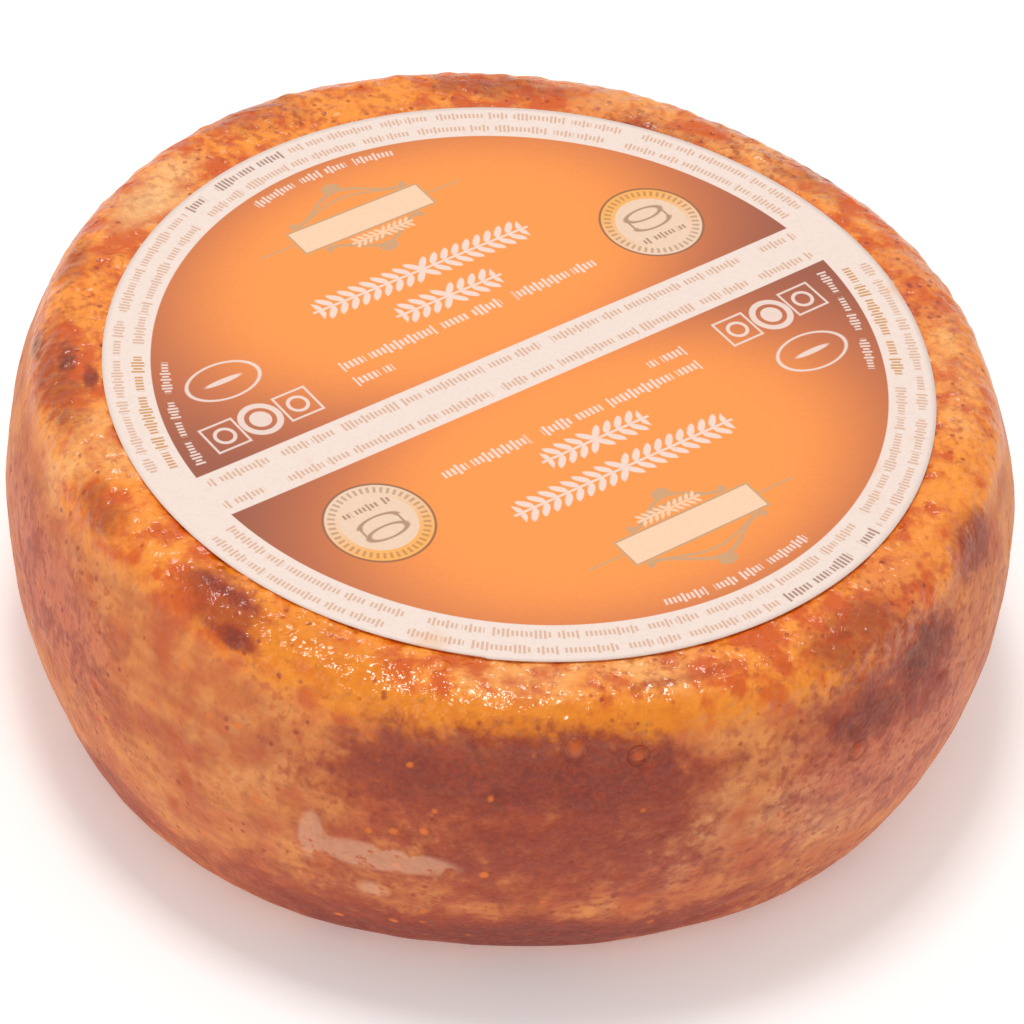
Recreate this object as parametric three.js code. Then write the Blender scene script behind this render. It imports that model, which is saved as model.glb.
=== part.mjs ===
// Cheese wheel: a small cured wheel of cheese with a paprika-rubbed rind,
// and the round paper label that lies on its top face.
// Millimetres, +Z up. The origin is the middle of the base, on the surface the wheel stands on.

import * as THREE from 'three';

// ---------------------------------------------------------------- driving dimensions
const wheelRadius = 80;         // at the widest height, before the rind's own swellings
const wheelHeight = 58;
const widestHeight = 30.5;      // the height at which the side stands out the most
const sideCurveRadius = 55;     // the side's barrel curve, seen in section
const topShoulderRadius = 8;    // the tight roll from the top face into the side
const baseShoulderRadius = 13;  // the softer roll that the wheel settles onto

// The pressed wheel isn't a perfect round. Each swelling is a wave around the rim with a number of
// crests, a height, and the direction of one crest, in degrees anticlockwise from +X.
const topSwellings = [
  { crests: 2, height: 1.4, direction: 118 },
  { crests: 3, height: 0.4, direction: 17 },
];
const baseSwellings = [
  { crests: 2, height: 1.5, direction: 98 },
  { crests: 3, height: 0.6, direction: 6 },
  { crests: 4, height: 1.2, direction: 53 },
];
const topLean = { x: -0.4, y: -2.2 };   // how far the top face has slid over the base

const labelRadius = 63.5;
const labelThickness = 0.2;
const labelGap = 0.1;                   // the paper lies loose on the rind
const labelFromTopCentre = { x: 0.5, y: -1.5 };

const sectionStepDegrees = 10;          // facets along the curves of the section
const wheelFacets = 96;
const labelFacets = 96;

// ---------------------------------------------------------------- the wheel
// The section runs up from the middle of the base to the middle of the top: the flat base, the
// base shoulder, the barrel side, the top shoulder and the flat top. Each shoulder is tangent to
// the side's curve, so the angle where they meet follows from the radii.
function wheelSection() {
  const sideCentreX = wheelRadius - sideCurveRadius;

  function shoulder(radius, rise) {
    const angle = Math.asin(rise / (sideCurveRadius - radius));
    return { angle, centreX: sideCentreX + (sideCurveRadius - radius) * Math.cos(angle) };
  }
  const base = shoulder(baseShoulderRadius, widestHeight - baseShoulderRadius);
  const top = shoulder(topShoulderRadius, wheelHeight - topShoulderRadius - widestHeight);

  const section = [new THREE.Vector2(0, 0)];
  function arc(centreX, centreY, radius, from, to) {
    const steps = Math.ceil(THREE.MathUtils.radToDeg(to - from) / sectionStepDegrees);
    const curve = new THREE.EllipseCurve(centreX, centreY, radius, radius, from, to);
    section.push(...curve.getPoints(steps));
  }
  arc(base.centreX, baseShoulderRadius, baseShoulderRadius, -Math.PI / 2, -base.angle);
  section.pop();
  arc(sideCentreX, widestHeight, sideCurveRadius, -base.angle, top.angle);
  section.pop();
  arc(top.centreX, wheelHeight - topShoulderRadius, topShoulderRadius, top.angle, Math.PI / 2);
  section.push(new THREE.Vector2(0, wheelHeight));
  return section;
}

function swell(swellings, angle) {
  return swellings.reduce((sum, { crests, height, direction }) => {
    return sum + height * Math.cos(crests * (angle - THREE.MathUtils.degToRad(direction)));
  }, 0);
}

// Every point of the turned section moves out or in by the swellings of its height, from the
// base's at the bottom to the top's at the top, and slides over with the lean.
function wheelGeometry() {
  const geometry = new THREE.LatheGeometry(wheelSection(), wheelFacets);
  geometry.rotateX(Math.PI / 2);
  const points = geometry.attributes.position;
  for (let i = 0; i < points.count; i += 1) {
    const x = points.getX(i);
    const y = points.getY(i);
    const up = points.getZ(i) / wheelHeight;
    const angle = Math.atan2(y, x);
    const swelling = up * swell(topSwellings, angle) + (1 - up) * swell(baseSwellings, angle);
    const scale = 1 + swelling / wheelRadius;
    points.setX(i, x * scale + topLean.x * up);
    points.setY(i, y * scale + topLean.y * up);
  }
  geometry.computeVertexNormals();
  return geometry;
}

const rind = new THREE.MeshStandardMaterial({ color: 0xd5843f, roughness: 0.42, metalness: 0 });
const wheel = new THREE.Mesh(wheelGeometry(), rind);
wheel.name = 'cheese_wheel';

// ---------------------------------------------------------------- the label
const paper = new THREE.MeshStandardMaterial({ color: 0xf3a563, roughness: 0.5, metalness: 0 });
const label = new THREE.Mesh(
  new THREE.CylinderGeometry(labelRadius, labelRadius, labelThickness, labelFacets),
  paper,
);
label.name = 'paper_label';
label.rotation.x = Math.PI / 2;
label.position.set(
  topLean.x + labelFromTopCentre.x,
  topLean.y + labelFromTopCentre.y,
  wheelHeight + labelGap + labelThickness / 2,
);

// ---------------------------------------------------------------- the whole
const cheese = new THREE.Group();
cheese.add(wheel, label);

// The uneven rim moves the middle of the outline off the turning axis: the whole is slid back.
wheel.geometry.computeBoundingBox();
const middle = wheel.geometry.boundingBox.getCenter(new THREE.Vector3());
cheese.position.set(-middle.x, -middle.y, 0);

export default cheese;
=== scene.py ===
"""A small cured cheese wheel: the paprika-rubbed rind and the printed paper label on its top face.

Every length is in metres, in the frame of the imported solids: +Z is up, the origin is the middle of
the base, and -Y is the front. A place on the rind is told by two numbers: the bearing, which is the
angle round the wheel from the front towards +X, and the reach, which is the distance along the
surface from the middle of the top face, out over the shoulder, down the side and in under the base.
"""

from __future__ import annotations

import logging
import math
from collections.abc import Callable, Sequence
from dataclasses import dataclass, field
from enum import Enum
from functools import reduce
from operator import or_

import bpy
import numpy as np
from mathutils import Matrix, Vector


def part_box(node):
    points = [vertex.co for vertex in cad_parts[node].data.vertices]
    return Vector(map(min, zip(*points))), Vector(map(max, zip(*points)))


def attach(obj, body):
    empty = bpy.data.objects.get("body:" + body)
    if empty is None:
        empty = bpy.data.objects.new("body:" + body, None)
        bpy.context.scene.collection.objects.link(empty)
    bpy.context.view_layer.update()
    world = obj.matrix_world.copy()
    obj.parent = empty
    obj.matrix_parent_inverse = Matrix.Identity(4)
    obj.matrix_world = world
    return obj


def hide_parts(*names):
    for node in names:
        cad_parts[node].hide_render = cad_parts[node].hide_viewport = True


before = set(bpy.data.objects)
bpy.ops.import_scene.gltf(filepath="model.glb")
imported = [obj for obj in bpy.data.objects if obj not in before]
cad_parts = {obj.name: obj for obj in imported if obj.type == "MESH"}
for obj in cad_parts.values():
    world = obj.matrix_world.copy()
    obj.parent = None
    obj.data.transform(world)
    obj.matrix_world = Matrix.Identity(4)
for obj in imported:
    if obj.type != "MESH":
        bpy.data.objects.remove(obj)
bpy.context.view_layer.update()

LOG = logging.getLogger("cheese_wheel")
MM = 0.001
FRONT = -math.pi / 2
BODY = "root"
BAKE_MAP = "OFBake"

Tint = tuple[float, float, float, float]


def colour(red: int, green: int, blue: int) -> Tint:
    """A display colour, with channels from 0 to 255, as the linear colour that shaders read.

    Args:
        red: the red channel.
        green: the green channel.
        blue: the blue channel.

    Returns:
        Red, green, blue and an alpha of 1, each from 0 to 1.
    """
    display = np.array([red, green, blue]) / 255
    linear = np.where(display <= 0.04045, display / 12.92, ((display + 0.055) / 1.055) ** 2.4)
    return (*linear.tolist(), 1.0)


def ease(value: np.ndarray, low: float, high: float) -> np.ndarray:
    """The smooth step: 0 below low, 1 above high, and t * t * (3 - 2 * t) between them.

    Args:
        value: what is compared.
        low: where the step begins.
        high: where the step ends; it may be below low, and then the step falls.

    Returns:
        The step at each value.
    """
    share = np.clip((value - low) / (high - low), 0, 1)
    return share * share * (3 - 2 * share)


# ---- random fields
class Grain:
    """Smooth random fields in space, all drawn from one seeded table of numbers."""

    length = 8192
    primes = (73856093, 19349663, 83492791)
    draw_prime = 7919

    def __init__(self, seed: int) -> None:
        """Draws the table.

        Args:
            seed: tells one grain from another, and makes each run the same.
        """
        self.table = np.random.default_rng(seed).random(self.length)

    def at(self, cells: np.ndarray, draw: int = 0) -> np.ndarray:
        """One random number from 0 to 1 for each whole-numbered cell.

        Args:
            cells: an array whose last axis is a cell's three numbers.
            draw: tells several numbers of one cell apart.

        Returns:
            An array without that last axis.
        """
        mixed = cells @ np.array(self.primes) + draw * self.draw_prime
        return self.table[mixed % self.length]

    def soft(self, places: np.ndarray, size: float) -> np.ndarray:
        """Random numbers at the corners of a grid of cubes, blended smoothly between them.

        Args:
            places: points in space, along the last axis.
            size: the side of a cube.

        Returns:
            A number from 0 to 1 at each point.
        """
        scaled = places / size
        cell = np.floor(scaled).astype(np.int64)
        share = scaled - cell
        share = share * share * (3 - 2 * share)
        total = np.zeros(places.shape[:-1])
        for corner in np.ndindex(2, 2, 2):
            step = np.array(corner)
            weight = np.prod(np.where(step, share, 1 - share), axis=-1)
            total += weight * self.at(cell + step)
        return total

    def rough(self, places: np.ndarray, size: float, layers: int = 3) -> np.ndarray:
        """Soft fields added up, each at half the size and half the height of the last.

        Args:
            places: points in space, along the last axis.
            size: the size of the largest lumps.
            layers: how many fields are added.

        Returns:
            A number round each point, from -1 to 1, mostly near 0.
        """
        total = np.zeros(places.shape[:-1])
        height, whole = 1.0, 0.0
        for layer in range(layers):
            total += height * (2 * self.soft(places + 3.1 * layer, size) - 1)
            whole += height
            height, size = height / 2, size / 2
        return total / whole

    def seeds(self, places: np.ndarray, size: float) -> tuple[np.ndarray, np.ndarray]:
        """The distance to the nearest of scattered seeds, one in each cube of a grid.

        Args:
            places: points in space, along the last axis.
            size: the side of a cube, about the distance between seeds.

        Returns:
            The distance as a share of size, and a random number that belongs to that seed.
        """
        scaled = places / size
        cell = np.floor(scaled).astype(np.int64)
        nearest = np.full(places.shape[:-1], 9.0)
        chance = np.zeros(places.shape[:-1])
        for offset in np.ndindex(3, 3, 3):
            near = cell + np.array(offset) - 1
            seed = near + np.stack([self.at(near, axis + 1) for axis in range(3)], axis=-1)
            distance = np.linalg.norm(scaled - seed, axis=-1)
            closer = distance < nearest
            nearest = np.where(closer, distance, nearest)
            chance = np.where(closer, self.at(near, 5), chance)
        return nearest, chance


# ---- the wheel's shape
@dataclass(frozen=True)
class Swelling:
    """A wave round the rim: how many crests, how high, and the direction of one, from +X."""

    crests: int
    height: float
    direction: float

    def over(self, angle: np.ndarray) -> np.ndarray:
        """The height of the wave at each angle, in radians from +X."""
        return self.height * np.cos(self.crests * (angle - math.radians(self.direction)))


@dataclass(frozen=True)
class WheelForm:
    """The plain wheel: one section turned round an upright axis, then pushed out of round."""

    radius: float = 80 * MM
    height: float = 58 * MM
    widest_height: float = 30.5 * MM
    side_curve: float = 55 * MM
    top_shoulder: float = 8 * MM
    base_shoulder: float = 13 * MM
    top_swellings: tuple[Swelling, ...] = (
        Swelling(2, 1.4 * MM, 118),
        Swelling(3, 0.4 * MM, 17),
    )
    base_swellings: tuple[Swelling, ...] = (
        Swelling(2, 1.5 * MM, 98),
        Swelling(3, 0.6 * MM, 6),
        Swelling(4, 1.2 * MM, 53),
    )
    lean: tuple[float, float] = (-0.4 * MM, -2.2 * MM)

    @property
    def axis_to_curve(self) -> float:
        """How far the centre of the side's curve is from the wheel's axis."""
        return self.radius - self.side_curve

    @property
    def top_angle(self) -> float:
        """How far the side turns from upright, above its widest height, to meet the shoulder."""
        rise = self.height - self.top_shoulder - self.widest_height
        return math.asin(rise / (self.side_curve - self.top_shoulder))

    @property
    def base_angle(self) -> float:
        """How far the side turns from upright, below its widest height."""
        rise = self.widest_height - self.base_shoulder
        return math.asin(rise / (self.side_curve - self.base_shoulder))

    @property
    def flat_top(self) -> float:
        """The radius of the flat top face, where the shoulder begins."""
        inset = self.side_curve - self.top_shoulder
        return self.axis_to_curve + inset * math.cos(self.top_angle)

    @property
    def flat_base(self) -> float:
        """The radius of the flat base, where its shoulder ends."""
        inset = self.side_curve - self.base_shoulder
        return self.axis_to_curve + inset * math.cos(self.base_angle)

    @property
    def stations(self) -> tuple[float, float, float, float, float]:
        """Where each stretch of the section ends, from the lengths of its flats and arcs.

        Returns:
            The reach at the end of the flat top, top shoulder, side, base shoulder and flat base.
        """
        shoulder = self.flat_top + self.top_shoulder * (math.pi / 2 - self.top_angle)
        side = shoulder + self.side_curve * (self.top_angle + self.base_angle)
        base = side + self.base_shoulder * (math.pi / 2 - self.base_angle)
        return self.flat_top, shoulder, side, base, base + self.flat_base

    def section(self, reach: np.ndarray) -> tuple[np.ndarray, np.ndarray]:
        """The section's radius and height: a flat, three arcs that meet smoothly, and a flat.

        On an arc, the point is the arc's centre plus its curve times (cos, sin) of an angle that
        falls by the reach along the arc divided by the curve.

        Args:
            reach: the distance along the section from the middle of the top.

        Returns:
            The distance from the axis and the height of each point.
        """
        top, shoulder, side, base, end = self.stations
        arcs = (
            (top, math.pi / 2, self.top_shoulder, self.flat_top, self.height - self.top_shoulder),
            (shoulder, self.top_angle, self.side_curve, self.axis_to_curve, self.widest_height),
            (side, -self.base_angle, self.base_shoulder, self.flat_base, self.base_shoulder),
        )
        radii, heights = [reach], [np.full_like(reach, self.height)]
        for start, angle, curve, out, up in arcs:
            turn = angle - (reach - start) / curve
            radii.append(out + curve * np.cos(turn))
            heights.append(up + curve * np.sin(turn))
        where = [reach < top, reach < shoulder, reach < side, reach < base]
        return np.select(where, radii, end - reach), np.select(where, heights, 0.0)

    def surface(self, bearing: np.ndarray, reach: np.ndarray) -> np.ndarray:
        """The plain surface: the turned section, swollen and leaning by its share of the height.

        Args:
            bearing: angles from the front, in radians.
            reach: distances along the section, of the same shape.

        Returns:
            Points, with a last axis of three.
        """
        radius, height = self.section(reach)
        angle = bearing + FRONT
        share = height / self.height
        top = sum(wave.over(angle) for wave in self.top_swellings)
        base = sum(wave.over(angle) for wave in self.base_swellings)
        radius = radius * (1 + (share * top + (1 - share) * base) / self.radius)
        return np.stack(
            [
                radius * np.cos(angle) + self.lean[0] * share,
                radius * np.sin(angle) + self.lean[1] * share,
                height,
            ],
            axis=-1,
        )


# ---- meshes from grids
Lay = Callable[[np.ndarray, np.ndarray, np.ndarray, np.ndarray], np.ndarray]


@dataclass
class TurnedGrid:
    """A closed skin of rings round one axis, from a first pole to a last pole.

    places has the shape (rings, facets, 3), and each ring runs anticlockwise seen from above.
    Rings go from the top middle outwards, down and in again, so that the faces point out.
    """

    places: np.ndarray
    first_pole: np.ndarray
    last_pole: np.ndarray
    point_values: dict[str, np.ndarray] = field(default_factory=dict)

    def mesh(self, name: str, lay: Lay) -> bpy.types.Mesh:
        """Joins neighbouring points of the grid into faces, with a fan of triangles at each pole.

        Args:
            name: the mesh's name.
            lay: gives the place on the bake map of a face's corner, from the corner's ring and
                turn and the ring and turn of the face's middle. Rings count from 0, with -1 and
                the number of rings for the poles, and turns count facets from 0 to one whole turn.

        Returns:
            The mesh, with smooth faces, its bake map and a named number on every point.
        """
        rings, facets = self.places.shape[:2]
        points = np.concatenate([self.places.reshape(-1, 3), [self.first_pole, self.last_pole]])
        ring, turn = np.meshgrid(np.arange(rings - 1), np.arange(facets), indexing="ij")
        quads = self._faces([(ring, turn), (ring + 1, turn), (ring + 1, turn + 1), (ring, turn + 1)])
        turn = np.arange(facets)
        top, foot = np.full(facets, 0), np.full(facets, rings - 1)
        top_fan = self._faces([(top - 1, turn), (top, turn), (top, turn + 1)])
        base_fan = self._faces([(foot, turn), (foot + 1, turn), (foot, turn + 1)])

        mesh = bpy.data.meshes.new(name)
        faces = [*quads[0].tolist(), *top_fan[0].tolist(), *base_fan[0].tolist()]
        mesh.from_pydata(points, [], faces)
        mesh.polygons.foreach_set("use_smooth", np.ones(len(mesh.polygons), bool))
        laid = np.concatenate([self._laid(corners, lay) for _, corners in (quads, top_fan, base_fan)])
        layer = mesh.uv_layers.new(name=BAKE_MAP)
        layer.uv.foreach_set("vector", laid.astype(np.float32).ravel())
        for title, values in self.point_values.items():
            every = np.concatenate([values.ravel(), [values[0].mean(), values[-1].mean()]])
            attribute = mesh.attributes.new(title, "FLOAT", "POINT")
            attribute.data.foreach_set("value", every.astype(np.float32))
        mesh.update()
        return mesh

    def _faces(
        self, corners: Sequence[tuple[np.ndarray, np.ndarray]]
    ) -> tuple[np.ndarray, np.ndarray]:
        """The point numbers of faces, and the rings and turns of their corners.

        Args:
            corners: for each corner of a face in turn, its ring and its turn, one per face.

        Returns:
            Point numbers with the shape (faces, corners), and rings and turns with the shape
            (faces, corners, 2), in which the turn after the last is a whole turn, not 0.
        """
        rings, facets = self.places.shape[:2]
        pairs = np.stack([np.stack(pair, axis=-1) for pair in corners], axis=-2)
        pairs = pairs.reshape(-1, len(corners), 2)
        ring, turn = pairs[..., 0], pairs[..., 1]
        number = ring * facets + turn % facets
        number = np.where(ring < 0, rings * facets, number)
        return np.where(ring >= rings, rings * facets + 1, number), pairs.astype(float)

    @staticmethod
    def _laid(corners: np.ndarray, lay: Lay) -> np.ndarray:
        """The places on the bake map of every corner of some faces.

        Args:
            corners: rings and turns, with the shape (faces, corners, 2).
            lay: as in mesh.

        Returns:
            Places with the shape (faces times corners, 2).
        """
        middle = np.broadcast_to(corners.mean(axis=1, keepdims=True), corners.shape)
        placed = lay(corners[..., 0], corners[..., 1], middle[..., 0], middle[..., 1])
        return placed.reshape(-1, 2)


def on_disc(
    angle: np.ndarray, share: np.ndarray, middle: tuple[float, float], size: float
) -> np.ndarray:
    """Places on a disc of the bake map: the disc's middle plus size * share in a direction.

    Args:
        angle: the direction of each place.
        share: its distance from the disc's middle, as a share of the disc's radius.
        middle: the disc's middle on the map.
        size: the disc's radius on the map.

    Returns:
        Places on the map, with a last axis of two.
    """
    across = middle[0] + size * share * np.cos(angle)
    up = middle[1] + size * share * np.sin(angle)
    return np.stack([across, up], axis=-1)


def hang(name: str, mesh: bpy.types.Mesh, material: bpy.types.Material) -> bpy.types.Object:
    """Puts a dressed mesh into the scene, at the origin.

    Args:
        name: the object's name.
        mesh: its mesh.
        material: its material.

    Returns:
        The object.
    """
    thing = bpy.data.objects.new(name, mesh)
    mesh.materials.append(material)
    bpy.context.collection.objects.link(thing)
    return thing


# ---- materials
def arithmetic(kind: str, swapped: bool = False) -> Callable[[Wire, Value], Wire]:
    """An operator for wires, which adds one Math node.

    Args:
        kind: the node's operation.
        swapped: whether the wire comes second.

    Returns:
        The operator, as a method of Wire.
    """

    def operator(wire: Wire, other: Value) -> Wire:
        """Works out the wire and another number."""
        return wire.board.math(kind, *((other, wire) if swapped else (wire, other)))

    return operator


class Wire:
    """A number on its way through a material's nodes; sums done with it add Math nodes.

    & is the smaller of two, where both marks lie, and | is the larger, where either mark lies.
    """

    __add__ = arithmetic("ADD")
    __radd__ = arithmetic("ADD", swapped=True)
    __sub__ = arithmetic("SUBTRACT")
    __rsub__ = arithmetic("SUBTRACT", swapped=True)
    __mul__ = arithmetic("MULTIPLY")
    __truediv__ = arithmetic("DIVIDE")
    __and__ = arithmetic("MINIMUM")
    __or__ = arithmetic("MAXIMUM")

    def __init__(self, board: Board, socket: bpy.types.NodeSocket) -> None:
        """Keeps the board and the socket that the number comes out of.

        Args:
            board: the material's board.
            socket: an output socket of one of its nodes.
        """
        self.board, self.socket = board, socket

    def __abs__(self) -> Wire:
        """The size, whatever the sign."""
        return self.board.math("ABSOLUTE", self)

    def step(self, low: float, high: float) -> Wire:
        """The smooth step from 0 at low to 1 at high; it falls where high is below low.

        Args:
            low: where the step begins.
            high: where it ends.

        Returns:
            The step, from 0 to 1.
        """
        node = self.board.node("ShaderNodeMapRange", interpolation_type="SMOOTHSTEP")
        self.board.feed(node.inputs["Value"], self)
        node.inputs["From Min"].default_value = low
        node.inputs["From Max"].default_value = high
        return Wire(self.board, node.outputs["Result"])


Value = Wire | float
Colour = Wire | Tint


class Board:
    """The nodes of one material, and short ways to add to them."""

    mix_share, mix_first, mix_second, mix_result = 0, 6, 7, 2

    def __init__(self, name: str) -> None:
        """Starts an empty material.

        Args:
            name: the material's name.
        """
        self.material = bpy.data.materials.new(name)
        self.material.use_nodes = True
        self.tree = self.material.node_tree
        self.tree.nodes.clear()

    def node(self, kind: str, **settings: str | bool) -> bpy.types.Node:
        """Adds a node.

        Args:
            kind: the node's type.
            settings: its options by name.

        Returns:
            The node.
        """
        node = self.tree.nodes.new(kind)
        for name, setting in settings.items():
            setattr(node, name, setting)
        return node

    def feed(self, socket: bpy.types.NodeSocket, value: Value | Colour) -> None:
        """Links a wire to an input socket, or sets the socket to a plain value.

        Args:
            socket: the input.
            value: what it takes.
        """
        if isinstance(value, Wire):
            self.tree.links.new(value.socket, socket)
        else:
            socket.default_value = value

    def math(self, kind: str, *values: Value) -> Wire:
        """One Math node.

        Args:
            kind: its operation.
            values: its inputs in order.

        Returns:
            Its result.
        """
        node = self.node("ShaderNodeMath", operation=kind)
        for socket, value in zip(node.inputs, values):
            self.feed(socket, value)
        return Wire(self, node.outputs[0])

    def place(
        self,
        origin: Sequence[float] = (0, 0, 0),
        turn: float = 0.0,
        size: Sequence[float] = (1, 1, 1),
    ) -> Wire:
        """Points in space, counted from an origin, along turned axes and in a chosen unit.

        Args:
            origin: the new origin.
            turn: how far the new axes are turned about the upright.
            size: the new unit along each axis.

        Returns:
            The points.
        """
        mapping = self.node("ShaderNodeMapping", vector_type="TEXTURE")
        points = self.node("ShaderNodeTexCoord").outputs["Object"]
        self.tree.links.new(points, mapping.inputs["Vector"])
        mapping.inputs["Location"].default_value = origin
        mapping.inputs["Rotation"].default_value = (0, 0, turn)
        mapping.inputs["Scale"].default_value = size
        return Wire(self, mapping.outputs[0])

    def split(self, points: Wire) -> list[Wire]:
        """The three numbers of a point.

        Args:
            points: the points.

        Returns:
            Their X, Y and Z.
        """
        node = self.node("ShaderNodeSeparateXYZ")
        self.feed(node.inputs[0], points)
        return [Wire(self, socket) for socket in node.outputs]

    def painted(self, name: str) -> Wire:
        """A number carried by the mesh's points."""
        return Wire(self, self.node("ShaderNodeAttribute", attribute_name=name).outputs["Fac"])

    def noise(
        self, points: Wire, size: float, detail: float = 2.0, rough: float = 0.5, bend: float = 0.0
    ) -> Wire:
        """A smooth random number from 0 to 1, mostly near 0.5.

        Args:
            points: where it is read.
            size: the size of its lumps.
            detail: how many times finer lumps are added.
            rough: how strong the finer lumps are.
            bend: how far the lumps are bent into swirls.

        Returns:
            The number.
        """
        node = self.node("ShaderNodeTexNoise")
        self.feed(node.inputs["Vector"], points)
        settings = {"Scale": 1 / size, "Detail": detail, "Roughness": rough, "Distortion": bend}
        for name, value in settings.items():
            node.inputs[name].default_value = value
        return Wire(self, node.outputs["Fac"])

    def bent(self, points: Wire, size: float, far: float) -> Wire:
        """Points moved about by a random field, which makes a round pattern ragged.

        Args:
            points: the points.
            size: the size of the field's lumps.
            far: about how far they move each way, apart from a steady shift of twice as much.

        Returns:
            The moved points.
        """
        field_node = self.node("ShaderNodeTexNoise")
        self.feed(field_node.inputs["Vector"], points)
        field_node.inputs["Scale"].default_value = 1 / size
        shift = self.node("ShaderNodeVectorMath", operation="MULTIPLY_ADD")
        self.tree.links.new(field_node.outputs["Color"], shift.inputs[0])
        shift.inputs[1].default_value = (4 * far, 4 * far, 4 * far)
        self.feed(shift.inputs[2], points)
        return Wire(self, shift.outputs[0])

    def cells(self, points: Wire, size: float) -> tuple[Wire, Wire]:
        """Scattered seeds, one in each cube of a grid.

        Args:
            points: where they are read.
            size: the side of a cube.

        Returns:
            The distance to the nearest seed as a share of size, and a random number of its own.
        """
        node = self.node("ShaderNodeTexVoronoi")
        self.feed(node.inputs["Vector"], points)
        node.inputs["Scale"].default_value = 1 / size
        chance = self.split(Wire(self, node.outputs["Color"]))[0]
        return Wire(self, node.outputs["Distance"]), chance

    def apart(self, points: Wire, middle: Sequence[float]) -> Wire:
        """How far points are from a middle.

        Args:
            points: the points.
            middle: the middle.

        Returns:
            The distance.
        """
        node = self.node("ShaderNodeVectorMath", operation="DISTANCE")
        self.feed(node.inputs[0], points)
        node.inputs[1].default_value = tuple(middle)
        return Wire(self, node.outputs["Value"])

    def chance(self, value: Value) -> Wire:
        """A random number from 0 to 1 that belongs to a number.

        Args:
            value: the number.

        Returns:
            The random number.
        """
        node = self.node("ShaderNodeTexWhiteNoise", noise_dimensions="1D")
        self.feed(node.inputs["W"], value)
        return Wire(self, node.outputs["Value"])

    def blend(self, share: Value, first: Colour, second: Colour) -> Wire:
        """A colour between two.

        Args:
            share: 0 for the first, 1 for the second.
            first: one colour.
            second: the other colour.

        Returns:
            The blend.
        """
        node = self.node("ShaderNodeMix", data_type="RGBA")
        self.feed(node.inputs[self.mix_share], share)
        self.feed(node.inputs[self.mix_first], first)
        self.feed(node.inputs[self.mix_second], second)
        return Wire(self, node.outputs[self.mix_result])

    def coats(self, paint: Wire, *coats: tuple[Value, Colour]) -> Wire:
        """Colours laid over a paint one after another.

        Args:
            paint: the paint underneath.
            coats: the share and the colour of each coat, the lowest first.

        Returns:
            The colour that shows.
        """
        for share, tint in coats:
            paint = self.blend(share, paint, tint)
        return paint

    def bump(self, height: Wire, strength: float) -> Wire:
        """Tilts the surface as a height in metres would.

        Args:
            height: how far each place stands proud.
            strength: the share of the tilt that is kept.

        Returns:
            The tilted direction.
        """
        node = self.node("ShaderNodeBump")
        node.inputs["Strength"].default_value = strength
        node.inputs["Distance"].default_value = 1.0
        self.feed(node.inputs["Height"], height)
        return Wire(self, node.outputs[0])

    def finish(self, **inputs: Value | Colour) -> bpy.types.Material:
        """Ends the material in a Principled surface.

        Args:
            inputs: its inputs, with spaces in their names as underscores.

        Returns:
            The material.
        """
        shader = self.node("ShaderNodeBsdfPrincipled")
        for name, value in inputs.items():
            self.feed(shader.inputs[name.replace("_", " ")], value)
        output = self.node("ShaderNodeOutputMaterial")
        self.tree.links.new(shader.outputs[0], output.inputs["Surface"])
        return self.material


# ---- the rind
class Stain(Enum):
    """The markings on the rind; each is a number from 0 to about 1 on the mesh's points. Ember and
    bruise also hold painted shade low on the front, and dust and butter hold painted sheen.
    """

    CROWN = "crown"
    OIL = "oil"
    EMBER_AND_SHADE = "ember_and_shade"
    BRUISE_AND_SHADE = "bruise_and_shade"
    DUSK = "dusk"
    DUST_AND_SHEEN = "dust_and_sheen"
    GOLD = "gold"
    BUTTER_AND_SHEEN = "butter_and_sheen"
    SCUFF = "scuff"


@dataclass(frozen=True)
class Patch:
    """One patch of a stain, painted shade or painted sheen: its middle, and half its width round the
    wheel and down the section.
    """

    bearing: float
    reach: float
    wide: float
    deep: float
    strength: float = 1.0


@dataclass(frozen=True)
class Blister:
    """A small dome on the rind, with a groove round it: its middle, radius and height."""

    bearing: float
    reach: float
    radius: float
    height: float = 0.4 * MM


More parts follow.
